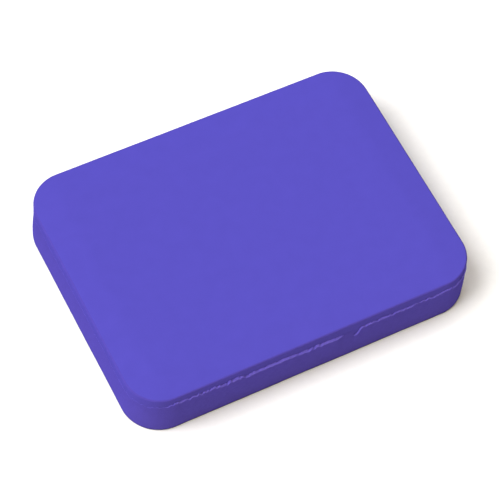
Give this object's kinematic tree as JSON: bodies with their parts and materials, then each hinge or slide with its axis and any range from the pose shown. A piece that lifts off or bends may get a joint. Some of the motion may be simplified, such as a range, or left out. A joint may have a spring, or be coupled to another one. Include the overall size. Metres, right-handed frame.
{
  "type": "chalkboard eraser",
  "caption": "Soft felt chalkboard eraser: felt wiping strips with dust channels under a padded moulded foam back, wrapped by a thin felt side band.",
  "frame": {"origin": "centre of the wiping face, where the felt strips meet the chalkboard", "axes": "+X along the length, +Y across the width away from the wall that holds the band's joint, +Z from the wiping face up to the crowned back"},
  "size_m": [0.1, 0.075, 0.016],
  "materials": {
    "cover_foam": "matte",
    "cushion_foam": "matte",
    "greyboard": "matte",
    "strip_felt": "matte",
    "spacer_felt": "matte",
    "band_felt": "matte",
    "adhesive": "satin"
  },
  "bodies": {
    "root": {"top_cover": "cover_foam", "grip_cushion": "cushion_foam", "backing_board": "greyboard", "felt_web": "strip_felt", "felt_strip_1": "strip_felt", "felt_strip_2": "strip_felt", "felt_strip_3": "strip_felt", "felt_strip_4": "strip_felt", "felt_strip_5": "strip_felt", "felt_strip_6": "strip_felt", "felt_strip_7": "strip_felt", "felt_strip_8": "strip_felt", "felt_strip_9": "strip_felt", "spacer_strip_1": "spacer_felt", "spacer_strip_2": "spacer_felt", "spacer_strip_3": "spacer_felt", "spacer_strip_4": "spacer_felt", "spacer_strip_5": "spacer_felt", "spacer_strip_6": "spacer_felt", "spacer_strip_7": "spacer_felt", "spacer_strip_8": "spacer_felt", "side_band": "band_felt", "seam_bead": "adhesive"}
  },
  "joints": []
}
